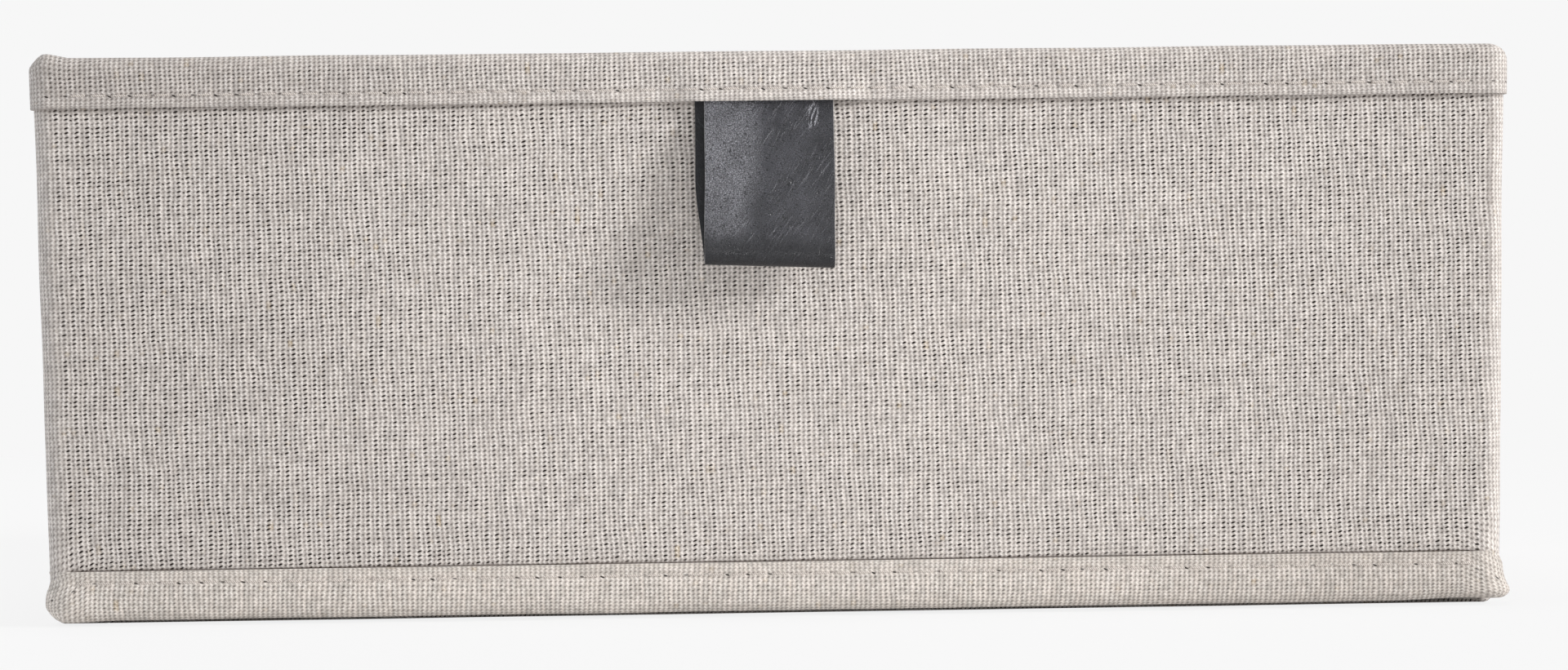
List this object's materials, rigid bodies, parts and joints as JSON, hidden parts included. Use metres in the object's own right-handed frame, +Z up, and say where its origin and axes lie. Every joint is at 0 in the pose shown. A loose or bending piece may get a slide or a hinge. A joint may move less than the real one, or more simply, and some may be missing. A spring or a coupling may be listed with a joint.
{
  "type": "file box with drawer",
  "caption": "Linen-covered board file box: an open-fronted sleeve with a sliding tray drawer, stitched overlay front and a leather loop pull.",
  "frame": {"origin": "middle of the sleeve's underside, the face that the box stands on", "axes": "+X to the right seen from the front, +Y to the back, +Z up; the drawer opens towards -Y"},
  "size_m": [0.34, 0.2664, 0.13],
  "materials": {
    "linen": "coarse linen weave, warm grey",
    "board": "grey board",
    "paper": "smooth lining paper",
    "leather": "charcoal, fine grain"
  },
  "bodies": {
    "case": {"case_top_board": "board", "case_bottom_board": "board", "case_left_board": "board", "case_right_board": "board", "case_back_board": "board", "case_wrap_cloth": "linen", "case_base_cloth": "linen", "case_back_cloth": "linen", "case_lining": "paper", "case_back_lining": "paper"},
    "drawer": {"tray_floor_board": "board", "tray_left_board": "board", "tray_right_board": "board", "tray_front_board": "board", "tray_back_board": "board", "tray_wrap_cloth": "linen", "tray_lining": "paper", "front_board": "board", "front_cover": "linen", "front_backing": "board", "top_hem": "linen", "bottom_binding": "linen", "pull_root": "leather"},
    "pull": {"pull_loop": "leather"}
  },
  "joints": [
    {"name": "drawer_slide", "type": "slide", "parent": "case", "child": "drawer", "axis": [0, -1, 0], "range_m": [0, 0.2]},
    {"name": "pull_swing", "type": "hinge", "parent": "drawer", "child": "pull", "pos_m": [0, -0.1337, 0.1164], "axis": [-1, 0, 0], "range_deg": [-8, 75], "stiffness_Nm_per_rad": 0.003}
  ]
}
